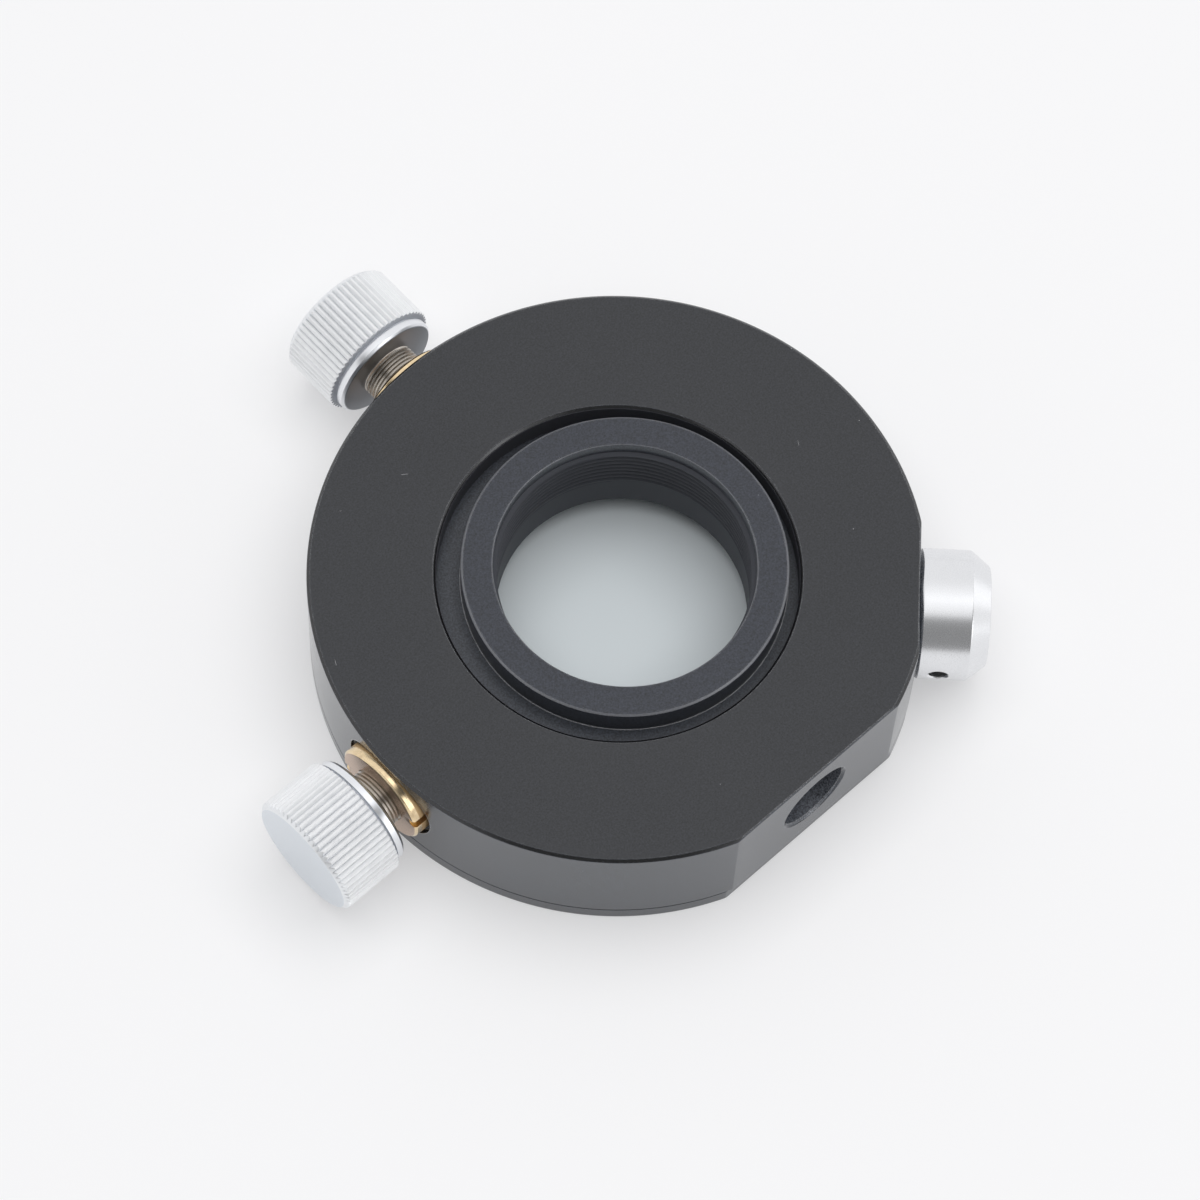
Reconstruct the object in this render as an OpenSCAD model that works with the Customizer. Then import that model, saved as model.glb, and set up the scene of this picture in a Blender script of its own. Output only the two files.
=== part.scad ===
// Centring lens mount: a ring housing that carries a lens cell, two fine adjusters at
// right angles that push the cell about in its own plane, and a spring plunger on the
// diagonal that pushes it back. The mount lies on its back plate: +Z is the optical axis,
// the back of the plate is at z = 0, -Y is the way the post comes in, +Y is the upper
// adjuster and -X is the side adjuster. Sizes are in millimetres.

/* [Housing] */
// Outside diameter of the housing
housing_d = 80; // [79.5:0.1:84]
// Length of the housing along the optical axis
housing_len = 17; // [16.5:0.1:20]
// Thickness of the front lip that holds the lens cell in
lip_thick = 3.8; // [3:0.1:4.2]
// Diameter of the opening in the front lip
opening_d = 46.8; // [46.8:0.1:48]
// Chamfer on the outer front edge and round the opening
edge_chamfer = 0.4; // [0.2:0.05:0.8]
// Distance from the optical axis to the flat that the post is screwed to
post_flat = 37.5; // [36.5:0.1:38]
// Distance from the optical axis to the flat under the plunger cap
plunger_flat = 38.9; // [38.4:0.1:39.2]

/* [Post hole] */
// Diameter of the seat that the end of the post enters
post_seat_d = 10; // [8:0.1:11]
// Depth of that seat
post_seat_depth = 3.5; // [2:0.1:4]
// Core diameter of the M6 thread behind the seat
post_thread_core_d = 5; // [4:0.1:5.2]

/* [Back plate] */
// Thickness of the back plate
plate_thick = 2.4; // [2.2:0.1:4]
// Diameter of the clear hole in the back plate
plate_hole_d = 40; // [36:0.5:44]
// How far the flats of the plate lie behind those of the housing
plate_flat_inset = 0.3; // [0:0.1:1]
// Chamfer on the rims of the plate
plate_chamfer = 0.2; // [0.1:0.05:0.5]
// Pitch circle diameter of the plate screws
plate_screw_pcd = 70; // [69:0.5:71]
// Thread diameter of the plate screws
plate_screw_d = 3; // [2.5:0.5:3]
// Length of the plate screws, head included
plate_screw_len = 7; // [5:0.5:9]

/* [Lens cell] */
// Outside diameter of the hub that shows in the front opening
hub_d = 42.3; // [41:0.1:42.6]
// How far the hub stands out of the front face
hub_proud = 0.45; // [0:0.05:1.5]
// Diameter of the sliding flange
flange_d = 55; // [54:0.5:56]
// Thickness of the sliding flange
flange_thick = 11.15; // [10:0.05:11.5]
// Core diameter of the M34 x 1 lens thread
bore_d = 32.92; // [30:0.02:34]
// Diameter of the plain recess in front of the thread
bore_recess_d = 34; // [33:0.1:36]
// Depth of that recess
bore_recess_depth = 1.85; // [0:0.05:3]
// Depth of the three flats in the rim of the flange that the tips push on
flat_cut = 1; // [0.7:0.1:2]
// Travel of the cell to each side of centre
travel = 1.5; // [0.5:0.1:1.6]
// Where the side adjuster has set the cell, along +X
offset_x = 1.2; // [-1.5:0.1:1.5]
// Where the upper adjuster has set the cell, along +Y
offset_y = 0; // [-1.5:0.1:1.5]

/* [Adjusters] */
// Thread diameter of the adjuster screw
screw_d = 8; // [7:0.1:8.5]
// Diameter of the plain nose that holds the ball
nose_d = 5.8; // [5.2:0.1:6.2]
// Diameter of the ball tip
ball_d = 4; // [3:0.1:4.2]
// Diameter of the shank that the knob is fixed on
shank_d = 6; // [5:0.1:6.5]
// Diameter of the bush flange
bush_flange_d = 14; // [13:0.1:14.4]
// Thickness of the bush flange
bush_flange_thick = 2.5; // [2.2:0.1:3]
// How far the bush flange stands out of the round side of the housing
bush_proud = 1.1; // [0.8:0.1:1.6]
// Outside diameter of the bush in the wall of the housing
bush_d = 11; // [10:0.1:11.5]
// Width of the two spanner slots in the bush flange
slot_w = 1.2; // [0.8:0.1:1.6]
// Depth of the spanner slots
slot_depth = 1; // [0.6:0.1:1.2]

/* [Knobs] */
// How far the knurl stays inside the front and back faces of the housing
knob_inset = 0; // [0:0.1:1]
// Length of the knob
knob_len = 10.6; // [9:0.1:13]
// Number of teeth in the straight knurl
knurl_n = 60; // [40:1:64]
// Depth of the knurl
knurl_depth = 0.45; // [0.2:0.05:0.5]
// Diameter of the plain collar on the inner side
collar_d = 15.5; // [14.5:0.1:16]
// Length of the collar
collar_len = 1.25; // [0.8:0.05:2]
// Width of the groove between the collar and the knurl
groove_w = 0.45; // [0.3:0.05:1]
// Chamfer on the outer rim of the knob
knob_chamfer = 0.65; // [0.3:0.05:1]
// Gap from the bush flange to the knob while the cell is centred
knob_gap = 3.65; // [3.2:0.05:6]
// Thread diameter of the grub screw in the knob
grub_d = 3; // [2:0.5:3]

/* [Plunger] */
// How far the cap stays inside the front and back faces of the housing
cap_inset = 0; // [0:0.1:1]
// How far the cap reaches beyond its flat
cap_reach = 9.35; // [9:0.05:12]
// Length of the cone at the end of the cap
cap_cone_len = 2.5; // [1:0.1:3]
// Diameter of the end face of the cap
cap_end_d = 13; // [12:0.1:14]
// Diameter of the threaded stub that screws into the housing
stub_d = 12; // [11:0.1:12.5]
// Diameter of the plunger pin
pin_d = 5; // [4:0.1:5.5]
// Diameter of the collar on the plunger pin
pin_collar_d = 8.4; // [7.6:0.1:8.6]
// Wire diameter of the plunger spring
wire_d = 0.8; // [0.5:0.05:1]
// Turns of the plunger spring
spring_turns = 6; // [4:1:8]
// Diameter of the spanner holes in the side of the cap
tommy_d = 2.4; // [1.5:0.1:3]

/* [Fits] */
// Radial running clearance of screws and balls
running_gap = 0.04; // [0.02:0.01:0.08]
// Clearance at the sliding faces of the lens cell and in front of each tip
slide_gap = 0.05; // [0.03:0.01:0.1]
// Clearance round the bush flange in its recess
recess_gap = 0.6; // [0.3:0.05:0.7]

/* [Hidden] */

$fn = 96;
small_fn = 32;                   // sides of screws and screw holes
eps = 0.02;                      // overlap where a chamfer is cut
over = 1;                        // how far a cutter reaches past a face
wall_over = 2;                   // how far a radial bore reaches past the cavity's wall
housing_r = housing_d / 2;
total_len = plate_thick + housing_len;
axis_z = plate_thick + housing_len / 2;
post_seat_chamfer = 0.4;

upper_az = 90;                   // azimuth of the upper adjuster
side_az = 180;                   // azimuth of the side adjuster
post_az = -90;                   // azimuth of the post
plunger_az = -45;                // azimuth of the plunger

// Lens cell and the room that it moves in
lip_z = total_len - lip_thick;
flange_top_z = lip_z - slide_gap;
flange_z = flange_top_z - flange_thick;
hub_top_z = total_len + hub_proud;
cavity_wall_gap = 0.38;          // left beside the flange when it is set right over
cavity_r = flange_d / 2 + travel * sqrt(2) + cavity_wall_gap;
hub_chamfer = 0.3;
bore_chamfer = 0.15;
push_flat = flange_d / 2 - flat_cut;

// Wave washer between the plate and the flange
washer_thick = 0.4;
washer_inset = 0.5;
washer_r = flange_d / 2 - washer_inset;
washer_w = 3.5;
washer_waves = 4;
washer_steps = 96;

// Adjusters, measured outwards from the optical axis
bush_face = housing_r + bush_proud;
bush_floor = bush_face - bush_flange_thick;
bush_recess_d = bush_flange_d + 2 * recess_gap;
bush_chamfer = 0.3;
bush_end_inset = 1;              // from the cavity's wall to the inner end of the bush
bush_end = cavity_r + bush_end_inset;
slot_az = 105;                   // where the spanner slots have come to rest
ball_centre = push_flat + slide_gap + ball_d / 2;
ball_seat = 0.7;                 // how far the nose reaches past the centre of the ball
ball_lip_gap = 0.1;              // how far the rim of the seat is closed over the ball
nose_end = ball_centre - ball_seat;
nose_over = 1;                   // how far the thread reaches out of the bush
thread_start = bush_end - nose_over;
knob_face = bush_face + knob_gap;
knob_end_wall = 2;
shank_len = knob_len - knob_end_wall;
screw_chamfer = 0.4;

// Knob profile, measured from its inner face
knob_d = housing_len - 2 * knob_inset;
knurl_start = collar_len + groove_w;
knob_r = knob_d / 2;
knurl_flat = 0.3;                // share of each knurl pitch that is left round
knurl_rim = 0.1;                 // chamfer on the inner rim of the knurl
collar_chamfer = 0.4;
groove_depth = 0.5;
grub_at = knurl_start + (knob_len - knurl_start) / 2;
grub_hex = 1.5;
grub_hex_depth = 1.5;
grub_inset = 0.6;

// Plunger, measured outwards from the optical axis along its own line
cap_d = housing_len - 2 * cap_inset;
cap_floor = plunger_flat;
cap_end = plunger_flat + cap_reach;
cap_base_chamfer = 0.5;
stub_len = 4;
stub_end = cap_floor - stub_len;
cap_wall = 1.8;
cap_bore_d = pin_collar_d + 0.4;
cap_bore_end = cap_end - cap_wall;
plunger_offset = (offset_x - offset_y) / sqrt(2);
pin_tip = push_flat + plunger_offset + slide_gap;
pin_stroke_in = (offset_x + travel + travel - offset_y) / sqrt(2);
stub_room = 0.5;                 // left between the stub and the floor of its thread
pin_guide_end = stub_end - stub_room;
pin_collar_gap = 0.2;
pin_collar_at = pin_guide_end + pin_stroke_in + pin_collar_gap;
pin_collar_len = 1.2;
pin_tail_len = 3.5;
pin_tail_d = 4;
pin_dome = 1;
tommy_at = 3.1;                  // distance of the spanner holes beyond the flat
tommy_turn = 4;                  // where the cap has come to rest
tommy_chamfer = 0.25;
coil_gap = 0.1;                  // radial room of the spring inside the pin's collar

// Plate screws
plate_screws_n = 4;
csk_d = 2 * plate_screw_d;
csk_depth = (csk_d - plate_screw_d) / 2;
plate_screw_az = 22.5;
screw_hex = 2;
screw_hex_depth = 1.1;
tap_extra = 1;

// Puts a shape that runs along +Z on a line that runs outwards at an azimuth
module outwards(az, dist = 0) {
    rotate([0, 0, az]) translate([dist, 0, axis_z]) rotate([0, 90, 0]) children();
}

// Chamfer round the mouth of a hole that comes in at an azimuth
module chamfered_mouth(az, dist, d, chamfer) {
    outwards(az, dist - chamfer) cylinder(d1 = d, d2 = d + 2 * (chamfer + over), h = chamfer + over);
}

// Solid of revolution from a list of [radius, height] points
module turned(points) {
    rotate_extrude() polygon(points);
}

// Everything beyond a flat, with a chamfer along its front edge
module beyond_flat(az, dist, chamfer) {
    reach = housing_d;
    rotate([0, 0, az]) {
        translate([dist, -reach / 2, -over]) cube([reach, reach, total_len + 2 * over]);
        rotate([90, 0, 0])
            linear_extrude(reach, center = true)
                polygon([
                    [dist - chamfer - eps, total_len + eps],
                    [dist + eps, total_len - chamfer - eps],
                    [dist + eps, total_len + eps]
                ]);
    }
}

module housing() {
    color([0.11, 0.115, 0.12])
    difference() {
        turned([
            [0, plate_thick], [housing_r - plate_chamfer, plate_thick],
            [housing_r, plate_thick + plate_chamfer], [housing_r, total_len - edge_chamfer],
            [housing_r - edge_chamfer, total_len], [0, total_len]
        ]);
        beyond_flat(post_az, post_flat, edge_chamfer);
        beyond_flat(plunger_az, plunger_flat, edge_chamfer);
        // room for the flange of the lens cell, open at the back
        translate([0, 0, plate_thick - over]) cylinder(r = cavity_r, h = lip_z - plate_thick + over);
        // front opening with its chamfer
        translate([0, 0, lip_z - over]) cylinder(d = opening_d, h = lip_thick + 2 * over);
        turned([
            [0, total_len + eps], [opening_d / 2 + edge_chamfer + eps, total_len + eps],
            [opening_d / 2, total_len - edge_chamfer], [0, total_len - edge_chamfer]
        ]);
        for (az = [upper_az, side_az]) bush_seat(az);
        plunger_seat();
        post_hole();
        plate_screw_places(plate_thick - over)
            cylinder(d = plate_screw_d, h = plate_screw_len - plate_thick + tap_extra + over,
                     $fn = small_fn);
    }
}

// Recess and bore that a bush is screwed into
module bush_seat(az) {
    outwards(az, bush_floor) cylinder(d = bush_recess_d, h = housing_r);
    outwards(az, cavity_r - wall_over)
        cylinder(d = bush_d, h = bush_floor - cavity_r + wall_over + over);
}

// Thread and guide bore of the plunger
module plunger_seat() {
    outwards(plunger_az, pin_guide_end) cylinder(d = stub_d, h = cap_floor - pin_guide_end + over);
    outwards(plunger_az, cavity_r - wall_over)
        cylinder(d = pin_d + 2 * running_gap, h = pin_guide_end - cavity_r + wall_over + over);
}

// Seat for the end of the post, with the M6 thread behind it
module post_hole() {
    seat_floor = post_flat - post_seat_depth;
    outwards(post_az, seat_floor) cylinder(d = post_seat_d, h = post_seat_depth + over);
    chamfered_mouth(post_az, post_flat, post_seat_d, post_seat_chamfer);
    outwards(post_az, cavity_r - wall_over)
        cylinder(d = post_thread_core_d, h = seat_floor - cavity_r + wall_over + over);
}

module plate_screw_place(i, z) {
    rotate([0, 0, plate_screw_az + i * 360 / plate_screws_n])
        translate([plate_screw_pcd / 2, 0, z]) children();
}

module plate_screw_places(z) {
    for (i = [0 : plate_screws_n - 1]) plate_screw_place(i, z) children();
}

module back_plate() {
    color([0.13, 0.135, 0.14])
    difference() {
        turned([
            [0, 0], [housing_r - plate_chamfer, 0], [housing_r, plate_chamfer],
            [housing_r, plate_thick - plate_chamfer], [housing_r - plate_chamfer, plate_thick],
            [0, plate_thick]
        ]);
        for (flat = [[post_az, post_flat], [plunger_az, plunger_flat]])
            beyond_flat(flat[0], flat[1] - plate_flat_inset, 0);
        translate([0, 0, -over]) cylinder(d = plate_hole_d, h = plate_thick + 2 * over);
        plate_screw_places(-over)
            cylinder(d = plate_screw_d, h = plate_thick + 2 * over, $fn = small_fn);
        plate_screw_places(0) countersink();
    }
}

module countersink() {
    translate([0, 0, -eps])
        cylinder(d1 = csk_d + 2 * eps, d2 = plate_screw_d, h = csk_depth + eps, $fn = small_fn);
}

module plate_screw(i) {
    color([0.16, 0.16, 0.165])
    plate_screw_place(i, 0) difference() {
        union() {
            cylinder(d1 = csk_d, d2 = plate_screw_d, h = csk_depth, $fn = small_fn);
            cylinder(d = plate_screw_d, h = plate_screw_len, $fn = small_fn);
        }
        translate([0, 0, -over])
            cylinder(d = screw_hex / cos(30), h = screw_hex_depth + over, $fn = 6);
    }
}

module lens_cell() {
    hub_r = hub_d / 2;
    bore_r = bore_d / 2;
    recess_r = bore_recess_d / 2;
    recess_z = hub_top_z - bore_recess_depth;
    color([0.12, 0.125, 0.14])
    translate([offset_x, offset_y, 0])
    difference() {
        turned([
            [bore_r + bore_chamfer, flange_z], [flange_d / 2, flange_z],
            [flange_d / 2, flange_top_z], [hub_r, flange_top_z],
            [hub_r, hub_top_z - hub_chamfer], [hub_r - hub_chamfer, hub_top_z],
            [recess_r + bore_chamfer, hub_top_z], [recess_r, hub_top_z - bore_chamfer],
            [recess_r, recess_z], [bore_r, recess_z - (recess_r - bore_r)],
            [bore_r, flange_z + bore_chamfer]
        ]);
        for (az = [upper_az, side_az, plunger_az])
            rotate([0, 0, az])
                translate([push_flat, -flange_d / 2, flange_z - over])
                    cube([flange_d, flange_d, flange_thick + 2 * over]);
    }
}

// Height of the middle of the washer's strip at an angle round it
function wave(a) =
    let (low = plate_thick + washer_thick / 2, high = flange_z - slide_gap - washer_thick / 2)
    (low + high) / 2 + (high - low) / 2 * cos(washer_waves * a);

module wave_washer() {
    corners = [
        [washer_r - washer_w, -washer_thick / 2], [washer_r, -washer_thick / 2],
        [washer_r, washer_thick / 2], [washer_r - washer_w, washer_thick / 2]
    ];
    points = [
        for (i = [0 : washer_steps - 1]) let (a = i * 360 / washer_steps)
            for (c = corners) [c[0] * cos(a), c[0] * sin(a), wave(a) + c[1]]
    ];
    faces = [
        for (i = [0 : washer_steps - 1]) for (k = [0 : 3])
            let (j = (i + 1) % washer_steps, m = (k + 1) % 4)
            [4 * i + k, 4 * i + m, 4 * j + m, 4 * j + k]
    ];
    color([0.62, 0.62, 0.6]) polyhedron(points, faces, convexity = 4);
}

// Brass bush with a flange, two spanner slots and a plain bore for the screw
module bush(az) {
    r = bush_flange_d / 2;
    color([0.79, 0.63, 0.36])
    outwards(az)
    difference() {
        turned([
            [screw_d / 2 + running_gap, bush_end], [bush_d / 2, bush_end],
            [bush_d / 2, bush_floor], [r, bush_floor], [r, bush_face - bush_chamfer],
            [r - bush_chamfer, bush_face], [screw_d / 2 + running_gap, bush_face]
        ]);
        for (side = [0, 180])
            rotate([0, 0, slot_az + side])
                translate([r - slot_depth, -slot_w / 2, bush_floor - eps])
                    cube([slot_depth + over, slot_w, bush_flange_thick + over]);
    }
}

// Adjuster screw: ball seat in the nose, fine thread, and the shank inside the knob
module adjuster_screw(az, shift) {
    r = screw_d / 2;
    color([0.42, 0.40, 0.38])
    outwards(az, shift)
    difference() {
        turned([
            [0, nose_end], [nose_d / 2 - screw_chamfer, nose_end],
            [nose_d / 2, nose_end + screw_chamfer], [nose_d / 2, thread_start],
            [r - screw_chamfer, thread_start], [r, thread_start + screw_chamfer],
            [r, knob_face], [shank_d / 2, knob_face], [shank_d / 2, knob_face + shank_len],
            [0, knob_face + shank_len]
        ]);
        translate([0, 0, ball_centre]) sphere(d = ball_d + 2 * running_gap);
        translate([0, 0, nose_end - over])
            cylinder(d = ball_d - 2 * ball_lip_gap, h = over + ball_seat);
    }
}

module ball_tip(az, shift) {
    color([0.75, 0.75, 0.76]) outwards(az, shift + ball_centre) sphere(d = ball_d);
}

// Outline of the straight knurl: a round crest and a V groove in each pitch
module knurl_outline() {
    pitch_a = 360 / knurl_n;
    crest_a = pitch_a * knurl_flat / 2;
    polygon([
        for (i = [0 : knurl_n - 1]) let (a = i * pitch_a)
            for (p = [[knob_r, a - crest_a], [knob_r, a + crest_a],
                      [knob_r - knurl_depth, a + pitch_a / 2]])
                p[0] * [cos(p[1]), sin(p[1])]
    ]);
}

// Knob: knurled grip with a chamfered rim, a groove and a plain collar on the inner side
module knob(az, shift) {
    collar_r = collar_d / 2;
    color([0.86, 0.87, 0.88])
    outwards(az, shift + knob_face)
    difference() {
        union() {
            intersection() {
                translate([0, 0, knurl_start])
                    linear_extrude(knob_len - knurl_start) knurl_outline();
                turned([
                    [0, knurl_start], [knob_r - knurl_rim, knurl_start],
                    [knob_r + eps, knurl_start + knurl_rim],
                    [knob_r + eps, knob_len - knob_chamfer], [knob_r - knob_chamfer, knob_len],
                    [0, knob_len]
                ]);
            }
            turned([
                [0, 0], [collar_r - collar_chamfer, 0], [collar_r, collar_chamfer],
                [collar_r, collar_len], [collar_r - groove_depth, collar_len],
                [collar_r - groove_depth, knurl_start + over], [0, knurl_start + over]
            ]);
        }
        translate([0, 0, -over]) cylinder(d = shank_d, h = shank_len + over);
        translate([0, 0, grub_at]) rotate([0, 90, 0])
            cylinder(d = grub_d, h = knob_d, $fn = small_fn);
    }
}

// Grub screw that locks a knob to its shank, with a hexagon socket
module grub_screw(az, shift) {
    len = knob_r - grub_inset - shank_d / 2;
    color([0.15, 0.15, 0.155])
    outwards(az, shift + knob_face + grub_at)
    rotate([0, 90, 0]) translate([0, 0, shank_d / 2])
    difference() {
        cylinder(d = grub_d, h = len, $fn = small_fn);
        translate([0, 0, len - grub_hex_depth])
            cylinder(d = grub_hex / cos(30), h = grub_hex_depth + over, $fn = 6);
    }
}

// Cap that closes the plunger, with a threaded stub and two spanner holes
module plunger_cap() {
    r = cap_d / 2;
    color([0.80, 0.81, 0.82])
    outwards(plunger_az)
    difference() {
        turned([
            [cap_bore_d / 2, stub_end], [stub_d / 2, stub_end], [stub_d / 2, cap_floor],
            [r - cap_base_chamfer, cap_floor], [r, cap_floor + cap_base_chamfer],
            [r, cap_end - cap_cone_len], [cap_end_d / 2, cap_end], [0, cap_end],
            [0, cap_bore_end], [cap_bore_d / 2, cap_bore_end]
        ]);
        translate([0, 0, cap_floor + tommy_at]) rotate([-90, 0, tommy_turn]) {
            cylinder(d = tommy_d, h = cap_d + 2 * over, center = true, $fn = small_fn);
            for (side = [0, 180]) rotate([side, 0, 0]) translate([0, 0, r - tommy_chamfer])
                cylinder(d1 = tommy_d, d2 = tommy_d + 2 * (tommy_chamfer + over),
                         h = tommy_chamfer + over, $fn = small_fn);
        }
    }
}

// Pin that the spring pushes against the cell: domed tip, collar and a tail in the spring
module plunger_pin() {
    r = pin_d / 2;
    dome_r = (r * r + pin_dome * pin_dome) / (2 * pin_dome);
    dome_a = asin(r / dome_r);
    color([0.7, 0.7, 0.71])
    outwards(plunger_az)
    turned(concat(
        [for (a = [0 : dome_a / 8 : dome_a]) [dome_r * sin(a), pin_tip + dome_r * (1 - cos(a))]],
        [
            [r, pin_collar_at], [pin_collar_d / 2, pin_collar_at],
            [pin_collar_d / 2, pin_collar_at + pin_collar_len],
            [pin_tail_d / 2, pin_collar_at + pin_collar_len],
            [pin_tail_d / 2, pin_collar_at + pin_collar_len + pin_tail_len],
            [0, pin_collar_at + pin_collar_len + pin_tail_len]
        ]
    ));
}

// Compression spring between the collar of the pin and the end of the cap's bore
module plunger_spring() {
    coil_r = pin_collar_d / 2 - wire_d / 2 - coil_gap;
    start = pin_collar_at + pin_collar_len + wire_d / 2 + slide_gap;
    length = cap_bore_end - wire_d / 2 - slide_gap - start;
    sides = 6;
    per_turn = 18;
    steps = spring_turns * per_turn;
    points = [
        for (i = [0 : steps]) let (a = i * 360 / per_turn, z = start + length * i / steps)
            for (k = [0 : sides - 1]) let (b = k * 360 / sides, rr = coil_r + wire_d / 2 * cos(b))
                [rr * cos(a), rr * sin(a), z + wire_d / 2 * sin(b)]
    ];
    faces = concat(
        [[for (k = [sides - 1 : -1 : 0]) k]],
        [for (i = [0 : steps - 1]) for (k = [0 : sides - 1]) let (m = (k + 1) % sides)
            [i * sides + k, i * sides + m, (i + 1) * sides + m, (i + 1) * sides + k]],
        [[for (k = [0 : sides - 1]) steps * sides + k]]
    );
    color([0.6, 0.6, 0.6]) outwards(plunger_az) polyhedron(points, faces, convexity = 8);
}

housing();
back_plate();
plate_screw(0);  // plate_screw_1
plate_screw(1);  // plate_screw_2
plate_screw(2);  // plate_screw_3
plate_screw(3);  // plate_screw_4
lens_cell();
wave_washer();
bush(upper_az);  // upper_bush
bush(side_az);  // side_bush
adjuster_screw(upper_az, offset_y);  // upper_screw
adjuster_screw(side_az, -offset_x);  // side_screw
ball_tip(upper_az, offset_y);  // upper_ball
ball_tip(side_az, -offset_x);  // side_ball
knob(upper_az, offset_y);  // upper_knob
knob(side_az, -offset_x);  // side_knob
grub_screw(upper_az, offset_y);  // upper_grub_screw
grub_screw(side_az, -offset_x);  // side_grub_screw
plunger_cap();
plunger_spring();
plunger_pin();
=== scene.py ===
"""Looks of a centring lens mount that lies on its back plate.

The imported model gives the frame: +Z is the optical axis, the post comes in from -Y, the upper adjuster
is on +Y, the side adjuster on -X, and the spring plunger on the diagonal between +X and -Y. Every visible
piece is made again here with fine edges, threads and knurls, in the place of its CAD node.
Lengths are in millimetres and are turned to metres where a mesh is made.
"""
import math

import bmesh
import bpy
from mathutils import Matrix, Vector


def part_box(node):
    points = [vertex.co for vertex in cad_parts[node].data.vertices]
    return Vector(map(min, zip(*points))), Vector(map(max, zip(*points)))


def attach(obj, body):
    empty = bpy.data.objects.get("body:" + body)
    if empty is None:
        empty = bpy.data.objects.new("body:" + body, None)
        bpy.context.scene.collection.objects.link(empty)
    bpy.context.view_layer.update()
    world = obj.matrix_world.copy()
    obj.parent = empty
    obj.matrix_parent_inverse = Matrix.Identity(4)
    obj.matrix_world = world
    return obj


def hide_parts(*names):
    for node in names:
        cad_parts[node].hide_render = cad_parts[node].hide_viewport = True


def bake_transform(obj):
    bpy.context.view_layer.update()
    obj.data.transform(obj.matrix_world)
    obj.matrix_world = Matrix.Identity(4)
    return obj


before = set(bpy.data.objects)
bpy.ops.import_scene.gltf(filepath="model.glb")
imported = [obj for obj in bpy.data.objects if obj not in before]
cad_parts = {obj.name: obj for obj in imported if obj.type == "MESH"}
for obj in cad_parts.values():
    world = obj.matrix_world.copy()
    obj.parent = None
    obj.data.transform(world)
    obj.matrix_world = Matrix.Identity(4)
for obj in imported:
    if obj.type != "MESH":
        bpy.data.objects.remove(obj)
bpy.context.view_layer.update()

MM = 0.001
WELD = 2e-7  # metres; points closer than this are one
ON_AXIS = 1e-6  # a smaller radius is none
SIDE_SHARE = 0.4  # of a side, the most that the rounding of one corner takes
CREASE = 34  # degrees; a sharper edge is shaded as an edge
EASED_FROM = 38  # degrees; a sharper edge left by a cutter is rounded

# ---------------- sizes of the real pieces

UPPER, SIDE, PLUNGER, POST = 90, 180, -45, -90  # azimuths of the four stations
FINE = 0.06  # rounding of a turned edge
CUT_EASE = 0.04  # rounding of an edge left by a cutter
PAST = 2.0  # how far a cutter reaches past what it cuts

# housing
HOUSING_R = 40.0
HOUSING_LEN = 17.0
PLATE_THICK = 2.4
FRONT_Z = PLATE_THICK + HOUSING_LEN
AXIS_Z = PLATE_THICK + HOUSING_LEN / 2  # height of the adjusters', plunger's and post's axes
LIP_Z = FRONT_Z - 3.8
CAVITY_R = 30.0
OPENING_R = 23.4
EDGE_CHAMFER = 0.4
FLAT_CHAMFER = 0.15  # on the rims of the flats, milled after the turning
SEAM_CHAMFER = 0.12
POST_FLAT = 37.5
PLUNGER_FLAT = 38.9
RING_FLATS = [(POST, POST_FLAT), (PLUNGER, PLUNGER_FLAT)]
PIN_BORE_R = 2.54
PIN_BORE_END = PLUNGER_FLAT - 4.5

# seat of the post, with its M6 thread
POST_SEAT_R = 5.0
POST_SEAT_FLOOR = POST_FLAT - 3.5
POST_SEAT_CHAMFER = 0.4
POST_CORE_R = 2.5
POST_ROOT_R = 3.0
POST_PITCH = 1.0
POST_TAP_START = CAVITY_R - 1.5
POST_TAP_END = POST_SEAT_FLOOR - 0.2

# back plate and its screws
PLATE_FLAT_INSET = 0.3
PLATE_HOLE_R = 20.0
PLATE_SCREW_AZIMUTHS = [22.5 + 90 * i for i in range(4)]
PLATE_SCREW_CIRCLE_R = 35.0
PLATE_SCREW_R = 1.5
PLATE_SCREW_HEAD_R = 3.0
PLATE_SCREW_HEAD = PLATE_SCREW_HEAD_R - PLATE_SCREW_R
PLATE_SCREW_LEN = 7.0
PLATE_SCREW_EASE = 0.08
PLATE_TAP_END = 8.0
SOCKET_R = 1.0 / math.cos(math.pi / 6)
SOCKET_DEPTH = 1.1

# lens cell, with its M34 x 1 thread
HUB_R = 21.15
HUB_TOP_Z = FRONT_Z + 0.45
HUB_CHAMFER = 0.3
FLANGE_R = 27.5
FLANGE_Z = 4.4
FLANGE_TOP_Z = 15.55
PUSH_FLAT = 26.5
LENS_CORE_R = 16.46
LENS_RECESS_R = 17.0
LENS_RECESS_Z = HUB_TOP_Z - 1.85
LENS_CHAMFER = 0.15
LENS_PITCH = 1.0
LENS_TURNS = 8

# bushes, measured outwards from the optical axis, as are the adjusters and the plunger
BUSH_END = 31.0
BUSH_FLOOR = 38.6
BUSH_FACE = 41.1
BUSH_R = 5.5
BUSH_FLANGE_R = 7.0
BUSH_RECESS_R = 7.6
BUSH_CHAMFER = 0.3
SLOT_AZ = 105  # of a spanner slot, round the bush's own axis
SLOT_W = 1.2
SLOT_DEPTH = 1.0

# adjuster screws and their balls
SCREW_R = 4.0
SCREW_PITCH = 0.5
SCREW_DEPTH = 0.3
SCREW_CHAMFER = 0.4
SCREW_START = BUSH_END - 1
THREAD_START = BUSH_END + 3
NOSE_R = 2.9
SHANK_R = 3.0
RUNNING_GAP = 0.04
BALL_R = 2.0
BALL_AT = PUSH_FLAT + 0.05 + BALL_R
BALL_SEAT = 0.7
SEAT_STEPS = 8

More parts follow.
